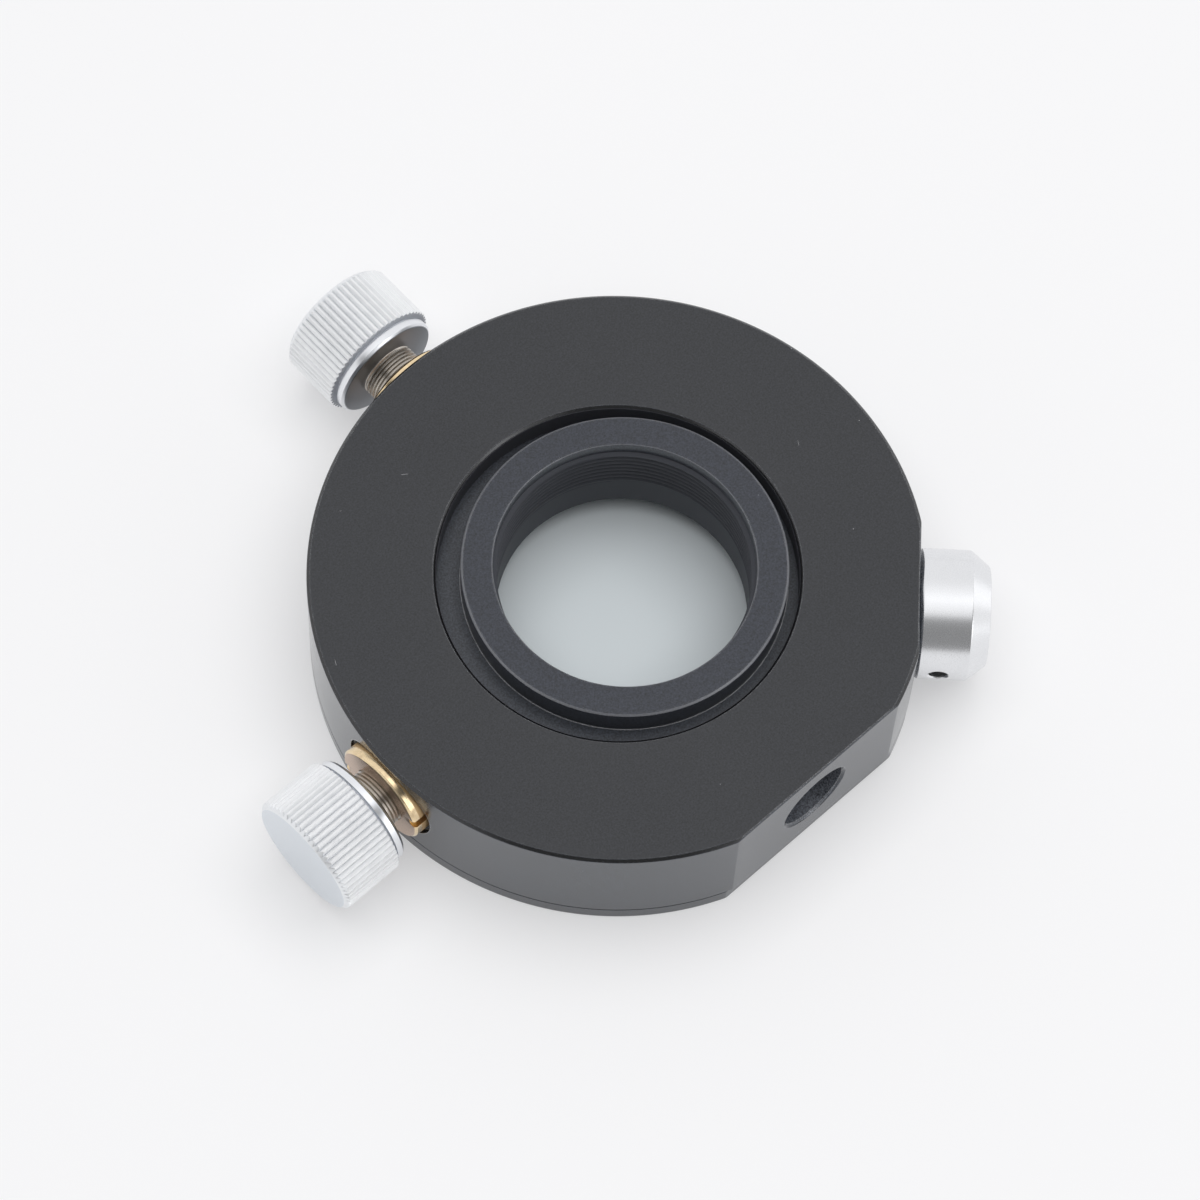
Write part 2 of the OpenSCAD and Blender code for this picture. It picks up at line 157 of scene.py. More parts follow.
# knobs, measured from their inner face
KNOB_FACE = 44.75
KNOB_LEN = 10.6
KNOB_R = 8.5
KNOB_CHAMFER = 0.65
KNOB_EASE = 0.05
KNOB_BORE = KNOB_LEN - 2
KNOB_TEETH = 60
KNURL_START = 1.7
KNURL_RIM = 0.08
COLLAR_R = 7.75
COLLAR_LEN = 1.25
COLLAR_CHAMFER = 0.4
GROOVE_R = COLLAR_R - 0.5
GRUB_R = 1.5
GRUB_AT = KNURL_START + (KNOB_LEN - KNURL_START) / 2
GRUB_END = KNOB_R - 0.6
GRUB_SOCKET_R = 0.75 / math.cos(math.pi / 6)
GRUB_SOCKET_DEPTH = 1.5
GRUB_EASE = 0.1

# plunger
CAP_R = 8.5
CAP_BASE_CHAMFER = 0.5
CAP_CONE = 2.5
CAP_END = 48.25
CAP_END_R = 6.5
CAP_BORE_R = 4.4
CAP_BORE_END = CAP_END - 1.8
CAP_EASE = 0.12
STUB_R = 6.0
STUB_END = PLUNGER_FLAT - 4
SPANNER_AT = PLUNGER_FLAT + 3.1
SPANNER_TURN = 4  # of the holes, round the cap's own axis
SPANNER_R = 1.2
SPANNER_CHAMFER = 0.25

# The cell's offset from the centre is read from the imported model, and the adjusters follow it.
CELL_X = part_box("lens_cell")[1].x / MM - FLANGE_R
CELL_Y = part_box("lens_cell")[1].y / MM - PUSH_FLAT


# ---------------- meshes

def skin(bm, rows, wrap=True):
    """Adds the faces between rows of points. A row of one point is a pole."""
    made = [[bm.verts.new(Vector(point) * MM) for point in row] for row in rows]
    for low, high in zip(made, made[1:]):
        count = max(len(low), len(high))
        for i in range(count if wrap else count - 1):
            j = (i + 1) % count
            corners = [low[i % len(low)], low[j % len(low)], high[j % len(high)], high[i % len(high)]]
            face = list(dict.fromkeys(corners))
            if len(face) > 2:
                bm.faces.new(face)


def eased(profile, size, closed=True):
    """The profile with each corner off the axis rounded over a small length. The two ends of an
    open profile stay sharp."""
    out = []
    for i, point in enumerate(profile):
        here = Vector(point)
        at_end = not closed and i in (0, len(profile) - 1)
        if here.x < ON_AXIS or at_end:
            out.append(tuple(here))
            continue
        before = Vector(profile[i - 1]) - here
        after = Vector(profile[(i + 1) % len(profile)]) - here
        reach = min(size, SIDE_SHARE * before.length, SIDE_SHARE * after.length)
        start = here + before.normalized() * reach
        end = here + after.normalized() * reach
        for t in (0, 1 / 3, 2 / 3, 1):
            out.append(tuple(start * (1 - t) ** 2 + here * 2 * t * (1 - t) + end * t ** 2))
    return out


def circle(radius, z, angles):
    """A row of points on a circle, or the one point of a pole."""
    if radius < ON_AXIS:
        return [(0, 0, z)]
    return [(radius * math.cos(a), radius * math.sin(a), z) for a in angles]


def even_angles(count):
    return [math.tau * i / count for i in range(count)]


def turned(bm, profile, count=128):
    """Solid of revolution round local Z from a closed profile of (radius, height) points."""
    angles = even_angles(count)
    skin(bm, [circle(r, z, angles) for r, z in list(profile) + [profile[0]]])


def weld(bm):
    """Joins points that lie in one place, so that the mesh is closed."""
    bmesh.ops.remove_doubles(bm, verts=bm.verts, dist=WELD)
    bmesh.ops.dissolve_degenerate(bm, edges=bm.edges, dist=WELD / 2)
    bmesh.ops.recalc_face_normals(bm, faces=bm.faces)


def put(name, data, matrix=Matrix.Identity(4)):
    """Adds an object to the scene."""
    made = bpy.data.objects.new(name, data)
    bpy.context.scene.collection.objects.link(made)
    made.matrix_world = matrix
    return made


def new_solid(name, bm, matrix=Matrix.Identity(4)):
    """Closes a bmesh into an object with even normals."""
    weld(bm)
    mesh = bpy.data.meshes.new(name)
    bm.to_mesh(mesh)
    bm.free()
    return put(name, mesh, matrix)


def baked(piece):
    """Applies the piece's modifiers to its mesh."""
    bpy.context.view_layer.update()
    shown = piece.evaluated_get(bpy.context.evaluated_depsgraph_get())
    mesh = bpy.data.meshes.new_from_object(shown)
    bm = bmesh.new()
    bm.from_mesh(mesh)
    weld(bm)
    bm.to_mesh(mesh)
    bm.free()
    old = piece.data
    piece.modifiers.clear()
    piece.data = mesh
    bpy.data.meshes.remove(old)


def cut(piece, cutters, edge=CUT_EASE):
    """Takes the cutters out of the piece and eases the edges that they leave."""
    for cutter in cutters:
        modifier = piece.modifiers.new("cut", "BOOLEAN")
        modifier.operation = "DIFFERENCE"
        modifier.solver = "EXACT"
        modifier.object = cutter
    baked(piece)
    for cutter in cutters:
        bpy.data.meshes.remove(cutter.data)
    if edge:
        modifier = piece.modifiers.new("ease", "BEVEL")
        modifier.limit_method = "ANGLE"
        modifier.angle_limit = math.radians(EASED_FROM)
        modifier.width = edge * MM
        modifier.segments = 2
        modifier.use_clamp_overlap = True
        baked(piece)


def dressed(piece, node, body, material):
    """Shades the piece, hangs it on its body, if it has one, and puts it in the place of its CAD node."""
    piece.data.shade_smooth()
    piece.data.set_sharp_from_angle(angle=math.radians(CREASE))
    modifier = piece.modifiers.new("even_normals", "WEIGHTED_NORMAL")
    modifier.keep_sharp = True
    piece.data.materials.clear()
    piece.data.materials.append(material)
    if body:
        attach(piece, body)
    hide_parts(node)
    return piece


def outwards(azimuth, distance=0.0):
    """Local +Z runs outwards at an azimuth on the height of the adjusters, and local +X runs down."""
    turn = Matrix.Rotation(math.radians(azimuth), 4, "Z")
    return turn @ Matrix.Translation((distance * MM, 0, AXIS_Z * MM)) @ Matrix.Rotation(math.pi / 2, 4, "Y")


def drill(matrix, steps, count=96):
    """A stepped solid that cuts a hole. Its steps are (radius, height) points from one end to the
    other."""
    bm = bmesh.new()
    turned(bm, [(0, steps[0][1])] + steps + [(0, steps[-1][1])], count)
    return new_solid("cutter", bm, matrix)


def block(low, high, matrix):
    """A box between two corners that cuts a slot."""
    bm = bmesh.new()
    bmesh.ops.create_cube(bm, size=1)
    for v in bm.verts:
        v.co = Vector([MM * (a if c < 0 else b) for a, b, c in zip(low, high, v.co)])
    return new_solid("cutter", bm, matrix)


# ---------------- a disc with flats

STEP_DEG = 1.4  # between the points of the outline
CORNER_EASE = 0.12  # how far the corners beside the flats are blunted


def outline(radius, flats, shrink=0.0, in_flats=0.0):
    """Points round a disc with flats (azimuth, distance), in from its round edge and from its flats. The
    number of points doesn't depend on either, and the corners beside the flats are a little blunted."""
    r = radius - shrink
    points = []
    for i, (azimuth, distance) in enumerate(flats):
        next_azimuth, next_distance = flats[(i + 1) % len(flats)]
        if i + 1 == len(flats):
            next_azimuth += 360
        half = math.acos((distance - in_flats) / r)
        next_half = math.acos((next_distance - in_flats) / r)
        middle = math.radians(azimuth)
        along = Vector((-math.sin(middle), math.cos(middle)))
        out = Vector((math.cos(middle), math.sin(middle))) * (distance - in_flats)
        reach = r * math.sin(half) - CORNER_EASE
        count = max(4, round(2 * math.degrees(math.acos(distance / radius)) / STEP_DEG))
        points += [out + along * reach * (2 * k / count - 1) for k in range(count + 1)]
        start = middle + half + CORNER_EASE / radius
        end = math.radians(next_azimuth) - next_half - CORNER_EASE / radius
        nominal = next_azimuth - azimuth - math.degrees(
            math.acos(distance / radius) + math.acos(next_distance / radius))
        count = max(2, round(nominal / STEP_DEG))
        for k in range(count + 1):
            a = start + (end - start) * k / count
            points.append(Vector((r * math.cos(a), r * math.sin(a))))
    return points


def rising_angles(points):
    """The angles of the points of an outline, each larger than the one before."""
    angles = []
    for p in points:
        a = math.atan2(p.y, p.x)
        while angles and a < angles[-1]:
            a += math.tau
        angles.append(a)
    return angles


def disc_rows(profile, radius, flats, round_below, plain_below=0.0):
    """Rows of points for a profile of (radius, height) points swept round a disc with flats. Points
    at a smaller radius than round_below lie on circles. Below the height plain_below the rims of
    the flats have no chamfer."""
    angles = rising_angles(outline(radius, flats))
    rows = []
    for r, z in profile:
        if r < round_below:
            rows.append(circle(r, z, angles))
        else:
            on_flats = 0 if z < plain_below else max(0, radius - r - EDGE_CHAMFER + FLAT_CHAMFER)
            points = outline(radius, flats, radius - r, on_flats)
            rows.append([(p.x, p.y, z) for p in points])
    return rows


def flat_sided_ring(name, profile, flats, round_below):
    """Closed ring with flats, whose rims have a chamfer on the front half alone."""
    rows = disc_rows(profile, HOUSING_R, flats, round_below, plain_below=AXIS_Z)
    bm = bmesh.new()
    skin(bm, rows + rows[:1])
    return new_solid(name, bm)


# ---------------- threads

# One pitch of a metric thread: the share of the pitch, and the share of the depth there
THREAD_SHAPE = [(0, 0), (0.1875, 0), (0.29, 0.33), (0.395, 0.67), (0.5, 1), (0.6875, 1),
                (0.79, 0.67), (0.895, 0.33)]


def thread(bm, crest_r, root_r, pitch, low, high, angles, coned=False):
    """A helical thread between two heights. It fades out to its crest at both ends, or its upper
    end is a cone of 45 degrees down to the root, so both ends are plain circles."""
    depth = root_r - crest_r
    rows = []
    for turn in range(-1, int((high - low) / pitch) + 2):
        for phase, share in THREAD_SHAPE:
            row = []
            for a in angles + [angles[0] + math.tau]:
                around = (a - angles[0]) / math.tau
                z = min(max(low + pitch * (turn + phase + around), low), high)
                sunk = share * min(1, (z - low) / pitch)
                if coned:
                    sunk = max(sunk, 1 - (high - z) / abs(depth))
                else:
                    sunk *= min(1, (high - z) / pitch)
                r = crest_r + depth * sunk
                row.append((r * math.cos(a), r * math.sin(a), z))
            rows.append(row)
    skin(bm, rows, wrap=False)


# ---------------- materials

def linear(hex_colour):
    """An sRGB hex colour as linear values."""
    values = [int(hex_colour[i:i + 2], 16) / 255 for i in (1, 3, 5)]
    return [v / 12.92 if v <= 0.04045 else ((v + 0.055) / 1.055) ** 2.4 for v in values] + [1.0]


def add(tree, kind, inputs=None, **settings):
    """Adds a node with its settings. Each input is a value, a socket, or a node whose first output it
    takes."""
    made = tree.nodes.new("ShaderNode" + kind)
    for name, value in settings.items():
        setattr(made, name, value)
    for name, value in (inputs or {}).items():
        if isinstance(value, bpy.types.Node):
            value = value.outputs[0]
        if isinstance(value, bpy.types.NodeSocket):
            tree.links.new(value, made.inputs[name])
        else:
            made.inputs[name].default_value = value
    return made


def new_material(name):
    """A material, its empty tree, and the object's own coordinates in millimetres."""
    material = bpy.data.materials.new(name)
    material.use_nodes = True
    tree = material.node_tree
    tree.nodes.clear()
    way = add(tree, "TexCoord")
    place = add(tree, "VectorMath", {0: way.outputs["Object"], "Scale": 1 / MM}, operation="SCALE")
    return material, tree, place


def span(start, full):
    """Where a form starts and where it is full, as inputs of a Map Range."""
    return {"From Min": start, "From Max": full}


def lathe_place(tree, place):
    """Radius and height of a point, so that a pattern of it runs round the local Z axis."""
    parts = add(tree, "SeparateXYZ", {0: place})
    across = add(tree, "CombineXYZ", {"X": parts.outputs["X"], "Y": parts.outputs["Y"]})
    radius = add(tree, "VectorMath", {0: across}, operation="LENGTH")
    return add(tree, "CombineXYZ", {"X": radius.outputs["Value"], "Y": parts.outputs["Z"]})


NOISE = span(0.3, 0.7)  # most of a noise lies between these

# Sizes of the patterns on the oxide
PIT = 0.24  # width of the pits of the etched ground
PIT_TINT = (0.15, 2.1)  # how light the dye is in the pits and between them
GLOSS_PATCH = 16.0  # size of the patches in which the gloss drifts
TOOL_MARK = 0.14  # spacing of the turning marks, drawn coarser than the real 0.05 to show
BUMP_DEPTH = 0.01  # depth of the pits and of the turning marks
# edges are pale partly from wear and partly from a painted highlight along them
WORN_OR_HIGHLIT_REACH = 0.32  # how far from an edge its wear reaches
WORN_OR_HIGHLIT_BEND = span(0.02, 0.06)  # bend of the surface there at which wear starts and is full
WORN_RUN = 1.1  # length of the runs in which an edge is worn

# Small marks: their spacing, their radius and the share of them that is kept
DUST = (3.0, 0.05, 0.35)
NICKS = (2.2, 0.07, 0.12)
SCRATCHES = (14.0, 0.45, 0.12)  # in a place squeezed by the two lengths below
SCRATCH_ALONG, SCRATCH_ACROSS = 1.2, 0.04  # so a scratch is about 1.1 long and 0.04 wide
SCRATCH_LINES = ((35, 2.0), (-62, 3.0))  # their angle and the seed of their draw
DUST_SEED = 1.0
NICK_SEED = 4.0


def worn_or_highlit_edges(tree, place):
    """1 on pale edges, partly wear and partly a painted highlight: near a corner of the mesh, broken up by a
    noise.
    """
    rounded = add(tree, "Bevel", {"Radius": WORN_OR_HIGHLIT_REACH * MM}, samples=6)
    geometry = add(tree, "NewGeometry")
    same = add(tree, "VectorMath", {0: rounded, 1: geometry.outputs["Normal"]}, operation="DOT_PRODUCT")
    bent = add(tree, "Math", {0: 1.0, 1: same.outputs["Value"]}, operation="SUBTRACT")
    noise = add(tree, "TexNoise", {
        "Vector": place, "Scale": 1 / WORN_RUN, "Detail": 4.0, "Roughness": 0.65})
    both = add(tree, "Math", {0: bent, 1: noise}, operation="MULTIPLY")
    return add(tree, "MapRange", {"Value": both, **WORN_OR_HIGHLIT_BEND})


def specks(tree, place, marks, seed):
    """1 on small marks, about one in each cell of their spacing. In a squeezed place they are scratches."""
    spacing, size, share = marks
    cells = add(tree, "TexVoronoi", {
        "Vector": place, "Scale": 1 / spacing, "Randomness": 1.0}, feature="F1")
    near = add(tree, "Math", {0: cells.outputs["Distance"], 1: size / spacing}, operation="LESS_THAN")
    draw = add(tree, "TexWhiteNoise", {"Vector": cells.outputs["Color"], "W": seed}, noise_dimensions="4D")
    kept = add(tree, "Math", {0: draw.outputs["Value"], 1: share}, operation="LESS_THAN")
    return add(tree, "Math", {0: near, 1: kept}, operation="MULTIPLY")


def squeezed(tree, place, angle):
    """The place turned about Z and squeezed, so that marks in it are drawn out along one line."""
    spun = add(tree, "VectorRotate", {
        "Vector": place, "Angle": math.radians(angle)}, rotation_type="Z_AXIS")
    return add(tree, "VectorMath", {
        0: spun, 1: (1 / SCRATCH_ALONG, 1 / SCRATCH_ACROSS, 1.0)}, operation="MULTIPLY")


OXIDE_IOR = 1.63  # sealed aluminium oxide
OXIDE_GLOSS = "#fafcff"
# bare metal, shown by wear, dust and scratches, and used as the painted highlight on edges and chamfers
BARE_METAL_OR_HIGHLIGHT = "#b9babd"
CHAMFER_DYE = "#141415"
FACE_UP = span(0.8, 0.95)  # upright part of the normal, from a wall to a face
CHAMFER_UP = (0.7, 0.12)  # the same on a chamfer, and how far it may be off
# zone that is painted lighter, standing in for light inside the holes
HOLES_END = POST_FLAT - 0.05  # the drilled holes lie inside this radius
HOLES_HALF = 5.5  # and at most this far above and below their axes
BORE_DULL = 0.35  # how much rougher the bore is
GLOSS_DRIFT = 0.03  # how far the roughness drifts


def bare_or_highlit_spots(tree, place, highlit_chamfers, in_bore):
    """1 where the surface is pale: on edges, from wear and a painted highlight, and on chamfers with a
    painted highlight, outside the bore, at specks of dust and in short scratches of handling."""
    worn_or_highlit = add(tree, "Math", {0: worn_or_highlit_edges(tree, place), 1: highlit_chamfers}, operation="MAXIMUM")
    worn_or_highlit = add(tree, "Math", {0: worn_or_highlit, 1: in_bore}, operation="SUBTRACT")
    spots = add(tree, "Math", {0: worn_or_highlit, 1: specks(tree, place, DUST, DUST_SEED)}, operation="MAXIMUM")
    for angle, seed in SCRATCH_LINES:
        scratch = specks(tree, squeezed(tree, place, angle), SCRATCHES, seed)
        spots = add(tree, "Math", {0: spots, 1: scratch}, operation="MAXIMUM")
    return spots


def black_anodised(name, face_hex, wall_hex, hole_painted_light_hex, face_rough, wall_rough, marks, bore, chamfer_highlight=0.0):
    """Black anodised aluminium, type II: a dyed oxide layer over turned metal. The face is matt and grainy,
    the walls are smoother and go grey at a grazing angle, and the drilled holes, with all else at their
    height inside their radius, are painted lighter, standing in for light inside them. Marks is the strength
    of the turning marks; the argument after the bore is the share of a pale highlight painted on chamfers as
    bare metal. The bore is a radius, a height and a colour: inside the one and below the other the surface
    is dull and takes that colour, which on the housing and the cell is painted lighter than the shade there."""
    material, tree, place = new_material(name)
    turned_place = lathe_place(tree, place)
    lathe = add(tree, "SeparateXYZ", {0: turned_place})
    radius, height = lathe.outputs["X"], lathe.outputs["Y"]
    bore_r, bore_top, bore_hex = bore
    narrow = add(tree, "Math", {0: radius, 1: bore_r}, operation="LESS_THAN")
    low = add(tree, "Math", {0: height, 1: bore_top}, operation="LESS_THAN")
    in_bore = add(tree, "Math", {0: narrow, 1: low}, operation="MULTIPLY")
    inside = add(tree, "Math", {0: radius, 1: HOLES_END}, operation="LESS_THAN")
    at_axis = add(tree, "Math", {0: height, 1: AXIS_Z, 2: HOLES_HALF}, operation="COMPARE")
    hole_painted_light_zone = add(tree, "Math", {0: inside, 1: at_axis}, operation="MULTIPLY")
    way = add(tree, "TexCoord")
    parts = add(tree, "SeparateXYZ", {0: way.outputs["Normal"]})
    upward = add(tree, "Math", {0: parts.outputs["Z"]}, operation="ABSOLUTE")
    facing = add(tree, "MapRange", {"Value": upward, **FACE_UP})
    slant = add(tree, "Math", {0: upward, 1: CHAMFER_UP[0], 2: CHAMFER_UP[1]}, operation="COMPARE")

    # the dye: walls and faces, darker chamfers where no highlight is painted, and the painted light of the
    # holes
    dye = add(tree, "Mix", {0: facing, 6: linear(wall_hex), 7: linear(face_hex)}, data_type="RGBA")
    if not chamfer_highlight:
        dye = add(tree, "Mix", {0: slant, 6: dye.outputs[2], 7: linear(CHAMFER_DYE)}, data_type="RGBA")
    dye = add(tree, "Mix", {0: hole_painted_light_zone, 6: dye.outputs[2], 7: linear(hole_painted_light_hex)}, data_type="RGBA")

    # the pits of the etched ground, seen through the oxide, but not in the bore
    pits = add(tree, "TexNoise", {"Vector": place, "Scale": 1 / PIT, "Detail": 3.0, "Roughness": 0.65})
    tint = add(tree, "MapRange", {"Value": pits, **NOISE, "To Min": PIT_TINT[0], "To Max": PIT_TINT[1]})
    ground = add(tree, "VectorMath", {0: dye.outputs[2], "Scale": tint}, operation="SCALE")
    # in the bore the colour is the bore's own, on the housing and the cell painted lighter than the shade
    # there
    ground = add(tree, "Mix", {0: in_bore, 6: ground, 7: linear(bore_hex)}, data_type="RGBA")

    # pale painted highlight on the chamfers, drawn as bare metal
    highlit_chamfers = add(tree, "Math", {0: slant, 1: chamfer_highlight}, operation="MULTIPLY")
    final = add(tree, "Mix", {
        0: bare_or_highlit_spots(tree, place, highlit_chamfers, in_bore), 6: ground.outputs[2], 7: linear(BARE_METAL_OR_HIGHLIGHT)},
        data_type="RGBA")

    # the gloss: smoother walls, a dull bore, and a slow drift
    base_rough = add(tree, "MapRange", {"Value": facing, "To Min": wall_rough, "To Max": face_rough})
    cloud = add(tree, "TexNoise", {"Vector": place, "Scale": 1 / GLOSS_PATCH, "Detail": 3.0})
    drift = add(tree, "MapRange", {"Value": cloud, **NOISE, "To Min": -GLOSS_DRIFT, "To Max": GLOSS_DRIFT})
    dull = add(tree, "Math", {0: in_bore, 1: BORE_DULL, 2: drift}, operation="MULTIPLY_ADD")
    rough = add(tree, "Math", {0: base_rough, 1: dull})

    lines = add(tree, "TexNoise", {
        "Vector": turned_place, "Scale": 1 / TOOL_MARK, "Detail": 2.0}, noise_dimensions="2D")
    fine = add(tree, "Bump", {"Height": pits, "Strength": 0.85, "Distance": BUMP_DEPTH * MM})
    tool_marks = add(tree, "Bump", {
        "Height": lines, "Strength": marks, "Distance": BUMP_DEPTH * MM, "Normal": fine})
    shader = add(tree, "BsdfPrincipled", {
        "Base Color": final.outputs[2], "Specular Tint": linear(OXIDE_GLOSS), "IOR": OXIDE_IOR,
        "Roughness": rough, "Normal": tool_marks})
    add(tree, "OutputMaterial", {"Surface": shader})
    return material


FILM_PATCH = 2.0  # size of the patches of soil on bare metal
FILM_FROM = span(0.42, 0.75)  # level of its noise at which the film starts and is full


def metal(name, hex_colour, roughness, pitch, depth, soil_hex, soil, lathed=False, spread=0.03, ends=(),
          shaded_valley=None):
    """Bare or clear-coated metal. Its fine pattern has a pitch and a depth, and is a grain or, where the
    metal is lathed, lines round the axis. Soil is the share of a darker film in its patches, and spread is
    how far the roughness varies. Each of the ends has a height, a side of it, a colour and a roughness.
    The last argument paints shade into the valleys between teeth: full inside its first radius and gone at
    the second."""
    material, tree, place = new_material(name)
    turned_place = lathe_place(tree, place)
    parts = add(tree, "SeparateXYZ", {0: turned_place})
    pattern = add(tree, "TexNoise", {
        "Vector": turned_place if lathed else place, "Scale": 1 / pitch, "Detail": 2.0, "Roughness": 0.6})
    cloud = add(tree, "TexNoise", {
        "Vector": place, "Scale": 1 / FILM_PATCH, "Detail": 5.0, "Roughness": 0.6})
    film = add(tree, "MapRange", {"Value": cloud, **FILM_FROM, "To Max": soil})
    marked = add(tree, "Math", {0: film, 1: specks(tree, place, NICKS, NICK_SEED)}, operation="MAXIMUM")
    colour = add(tree, "Mix", {0: marked, 6: linear(hex_colour), 7: linear(soil_hex)}, data_type="RGBA")
    if shaded_valley:
        low, high, valley_shade_hex = shaded_valley
        deep = add(tree, "MapRange", {"Value": parts.outputs["X"], **span(high, low)})
        colour = add(tree, "Mix", {0: deep, 6: colour.outputs[2], 7: linear(valley_shade_hex)}, data_type="RGBA")
    rough = add(tree, "MapRange", {
        "Value": pattern, **NOISE, "To Min": roughness - spread, "To Max": roughness + spread})
    for height, side, end_hex, end_rough in ends:
        at_end = add(tree, "Math", {0: parts.outputs["Y"], 1: height}, operation=side)
        colour = add(tree, "Mix", {0: at_end, 6: colour.outputs[2], 7: linear(end_hex)}, data_type="RGBA")
        rough = add(tree, "Mix", {0: at_end, 2: rough, 3: end_rough})
    bump = add(tree, "Bump", {"Height": pattern, "Strength": 0.6, "Distance": depth * MM})
    shader = add(tree, "BsdfPrincipled", {
        "Base Color": colour.outputs[2], "Metallic": 1.0, "Roughness": rough, "Normal": bump})
    add(tree, "OutputMaterial", {"Surface": shader})
    return material


# Etched, then anodised: a dead black face with a fine sparkle of grain, and walls with a soft grey sheen.
# The holes and the wall of the opening are painted lighter, standing in for light inside them.
housing_black = black_anodised(
    "black_anodised_etched_aluminium", face_hex="#18191c", wall_hex="#2f343c", hole_painted_light_hex="#5a5d63",
    face_rough=0.42, wall_rough=0.12, marks=0.05, bore=(OPENING_R + 0.05, FRONT_Z - 0.1, "#404146"))

# Turned, then anodised: much the same black, with faint rings from the tool.
plate_black = black_anodised(
    "black_anodised_turned_aluminium", face_hex="#191a1d", wall_hex="#2b3038", hole_painted_light_hex="#25282e",
    face_rough=0.40, wall_rough=0.14, marks=0.25, bore=(PLATE_HOLE_R + 0.05, PLATE_THICK, "#26272c"))

# From another bath: a bluer black with faint rings, chamfers painted pale as highlights, a dull thread
# painted lighter grey than the shade in the bore, and the flange top in the gap painted lighter too.
cell_black = black_anodised(
    "blue_black_anodised_turned_aluminium", face_hex="#1f222a", wall_hex="#363941", hole_painted_light_hex="#282b31",
    face_rough=0.40, wall_rough=0.30, marks=0.20, bore=(LENS_RECESS_R + 0.02, LENS_RECESS_Z, "#383a40"),
    chamfer_highlight=0.24)

# The metals' real grain or rings are about 0.05 apart. Each pitch below is coarser, so that they show.

# Satin etched and clear anodised: a broad silky sheen on the teeth, a dull groove, valleys between the teeth
# and the groove painted a little darker as shade, and a tighter shine on the collar, the chamfer and the end
# face.
silver = metal(
    "clear_anodised_satin_aluminium", "#f7f8f9", 0.58, pitch=0.13, depth=0.004,
    # the valleys between the teeth are painted a little darker as shade
    soil_hex="#c4c6ca", soil=0.12, shaded_valley=(KNOB_R - 0.4, KNOB_R - 0.25, "#e6e8ea"),
    # the groove: dull, and painted a little darker as shade
    ends=[(KNURL_START + 0.02, "LESS_THAN", "#e4e6ea", 0.8),  # groove
          (COLLAR_LEN, "LESS_THAN", "#eceef1", 0.30),  # collar
          (KNOB_LEN - 0.7, "GREATER_THAN", "#eef0f2", 0.36),  # chamfer
          (0.1, "LESS_THAN", "#a2a5aa", 0.42),  # inner face
          (KNOB_LEN - 0.04, "GREATER_THAN", "#e0e5ea", 0.36)])  # end face

# Fine blasted and clear anodised: smooth silver with a tight highlight along it.
cap_silver = metal(
    "clear_anodised_blasted_aluminium", "#e9eaec", 0.26, pitch=0.14, depth=0.005, soil_hex="#b4b6ba",
    soil=0.06)

# Turned and polished: a warm mirror with brown soil, duller low in its slots, and a face painted darker and
# pinker, a painted reflection of the shaded knob and housing that it faces.
brass = metal(
    "polished_turned_brass", "#efd8b0", 0.13, pitch=0.16, depth=0.004, soil_hex="#8a6a4c", soil=0.6,
    lathed=True, spread=0.05,
    ends=[(BUSH_FACE - 1.05, "LESS_THAN", "#cfb084", 0.5),
          # the face: painted darker and pinker, standing in for the shaded parts it reflects
          (BUSH_FACE - 0.02, "GREATER_THAN", "#d5bba6", 0.27)])

# Rolled thread: a warm grey with fine rings and dull soil.
dark_steel = metal(
    "rolled_dark_steel", "#c8c2b9", 0.28, pitch=0.10, depth=0.002, soil_hex="#8a8076", soil=0.4, lathed=True)

# Hardened and lapped: a clear mirror.
ball_steel = metal(
    "hardened_polished_ball_steel", "#c9cacc", 0.09, pitch=0.30, depth=0.0005, soil_hex="#b5b6b8", soil=0.1)

# Cold drawn wire: grey and half bright.
spring_steel = metal(
    "drawn_spring_steel", "#a6a5a2", 0.30, pitch=0.15, depth=0.002, soil_hex="#7d7a75", soil=0.4)

# Ground round: a bright grey with very fine rings.
pin_steel = metal(
    "ground_pin_steel", "#b9babb", 0.22, pitch=0.10, depth=0.002, soil_hex="#8f9092", soil=0.3, lathed=True)

# Black oxide: dark satin with patches of oil.
black_steel = metal(
    "black_oxide_screw_steel", "#3a3a3c", 0.38, pitch=0.15, depth=0.003, soil_hex="#242425", soil=0.5)


# ---------------- housing and back plate

def screw_place(azimuth):
    """Where a plate screw stands."""
    a = math.radians(azimuth)
    return Matrix.Translation(Vector((math.cos(a), math.sin(a), 0)) * PLATE_SCREW_CIRCLE_R * MM)


def post_tap():
    """What the M6 thread takes out, from the cavity to the floor of the post's seat."""
    end = POST_TAP_END + PAST
    angles = even_angles(64)
    bm = bmesh.new()
    thread(bm, POST_ROOT_R, POST_CORE_R, POST_PITCH, POST_TAP_START, POST_TAP_END, angles)
    skin(bm, [circle(0, POST_TAP_START, angles), circle(POST_ROOT_R, POST_TAP_START, angles)])
    skin(bm, [circle(POST_ROOT_R, POST_TAP_END, angles), circle(POST_ROOT_R, end, angles),
              circle(0, end, angles)])
    return new_solid("cutter", bm, outwards(POST))


